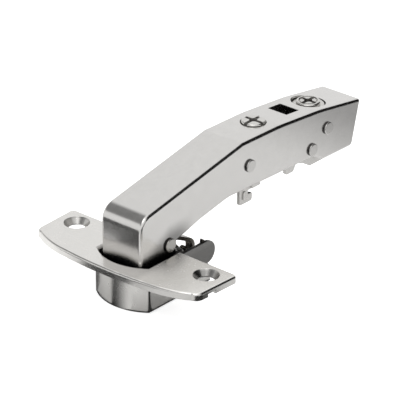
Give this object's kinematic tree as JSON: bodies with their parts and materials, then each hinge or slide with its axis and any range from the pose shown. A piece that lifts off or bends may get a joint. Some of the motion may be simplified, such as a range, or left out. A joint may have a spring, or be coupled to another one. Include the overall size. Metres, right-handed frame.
{
  "type": "concealed cup hinge",
  "caption": "Concealed cabinet hinge: a round cup with a screw-on flange, folding links, and a cranked channel arm with adjusting screws and a clip-on tail.",
  "frame": {"origin": "on the cup's axis, in the plane of the door's inner face under the flange", "axes": "+X from the cup towards the arm's tail, +Y along the flange, +Z out of the door"},
  "size_m": [0.112, 0.0664, 0.0391],
  "materials": {
    "nickel_cup": "satin nickel plate on drawn sheet",
    "nickel_arm": "satin nickel plate on pressed sheet",
    "inner_steel": "nickel plate, shaded inside",
    "carrier_steel": "nickel plate on pressed sheet",
    "link_steel": "nickel plate, rolled",
    "rivet_steel": "nickel plate, riveted",
    "pin_steel": "drawn bright steel",
    "screw_steel": "nickel plate, turned",
    "latch_steel": "nickel plate",
    "spring_steel": "drawn spring wire"
  },
  "bodies": {
    "cup": {"cup": "nickel_cup", "flange_plate": "inner_steel", "pivot_bracket": "inner_steel", "outer_cup_pin_left": "pin_steel", "outer_cup_pin_right": "pin_steel", "inner_cup_pin": "pin_steel", "closing_spring_left": "spring_steel", "closing_spring_right": "spring_steel"},
    "outer_link": {"outer_link": "link_steel"},
    "inner_link": {"inner_link": "link_steel"},
    "arm": {"hinge_arm": "nickel_arm", "outer_arm_pin": "rivet_steel", "inner_arm_pin": "rivet_steel", "guide_rivet": "rivet_steel", "slide_rivet": "rivet_steel", "tilt_rivet_left": "rivet_steel", "tilt_rivet_right": "rivet_steel"},
    "overlay_screw": {"overlay_screw": "screw_steel"},
    "carrier": {"carrier": "carrier_steel", "overlay_nut": "inner_steel"},
    "depth_cam": {"depth_cam": "screw_steel"},
    "clip": {"clip_channel": "inner_steel", "latch_pin": "pin_steel", "latch_spring": "spring_steel"},
    "latch": {"latch_lever": "latch_steel"}
  },
  "joints": [
    {"name": "link_fold", "type": "hinge", "parent": "cup", "child": "outer_link", "pos_m": [0.0096, 0, -0.0036], "axis": [0, 1, 0], "range_deg": [0, 104.5], "stiffness_Nm_per_rad": 0.02, "springref_deg": -143.24},
    {"name": "arm_fold", "type": "hinge", "parent": "outer_link", "child": "arm", "pos_m": [-0.0012, 0, 0.0043], "axis": [0, 1, 0], "range_deg": [-9.5, 0]},
    {"name": "inner_link_fold", "type": "hinge", "parent": "cup", "child": "inner_link", "pos_m": [0.0113, 0, -0.0083], "axis": [0, 1, 0], "range_deg": [0, 64.9]},
    {"name": "overlay_turn", "type": "hinge", "parent": "arm", "child": "overlay_screw", "pos_m": [0.0466, 0, 0.025], "axis": [0, 0, 1], "range_deg": [-300, 300]},
    {"name": "carrier_tilt", "type": "hinge", "parent": "arm", "child": "carrier", "pos_m": [0.0733, 0, 0.0164], "axis": [0, 1, 0], "range_deg": [-1.2, 1.2]},
    {"name": "depth_turn", "type": "hinge", "parent": "carrier", "child": "depth_cam", "pos_m": [0.0733, 0, 0.02], "axis": [0, 0, 1], "range_deg": [-45, 45]},
    {"name": "clip_slide", "type": "slide", "parent": "carrier", "child": "clip", "axis": [1, 0, 0], "range_m": [-0.0006, 0.0006]},
    {"name": "latch_press", "type": "hinge", "parent": "clip", "child": "latch", "pos_m": [0.0786, 0, 0.0096], "axis": [0, 1, 0], "range_deg": [-8, 0], "stiffness_Nm_per_rad": 0.01, "springref_deg": 28.65, "deforming": ["latch_spring"]}
  ],
  "couplings": [
    {"joint": "arm_fold", "follows": "link_fold", "ratio": -0.0909},
    {"joint": "inner_link_fold", "follows": "link_fold", "ratio": 0.621},
    {"joint": "overlay_turn", "follows": "carrier_tilt", "ratio": -240},
    {"joint": "depth_turn", "follows": "clip_slide", "rad_per_m": -1176}
  ]
}
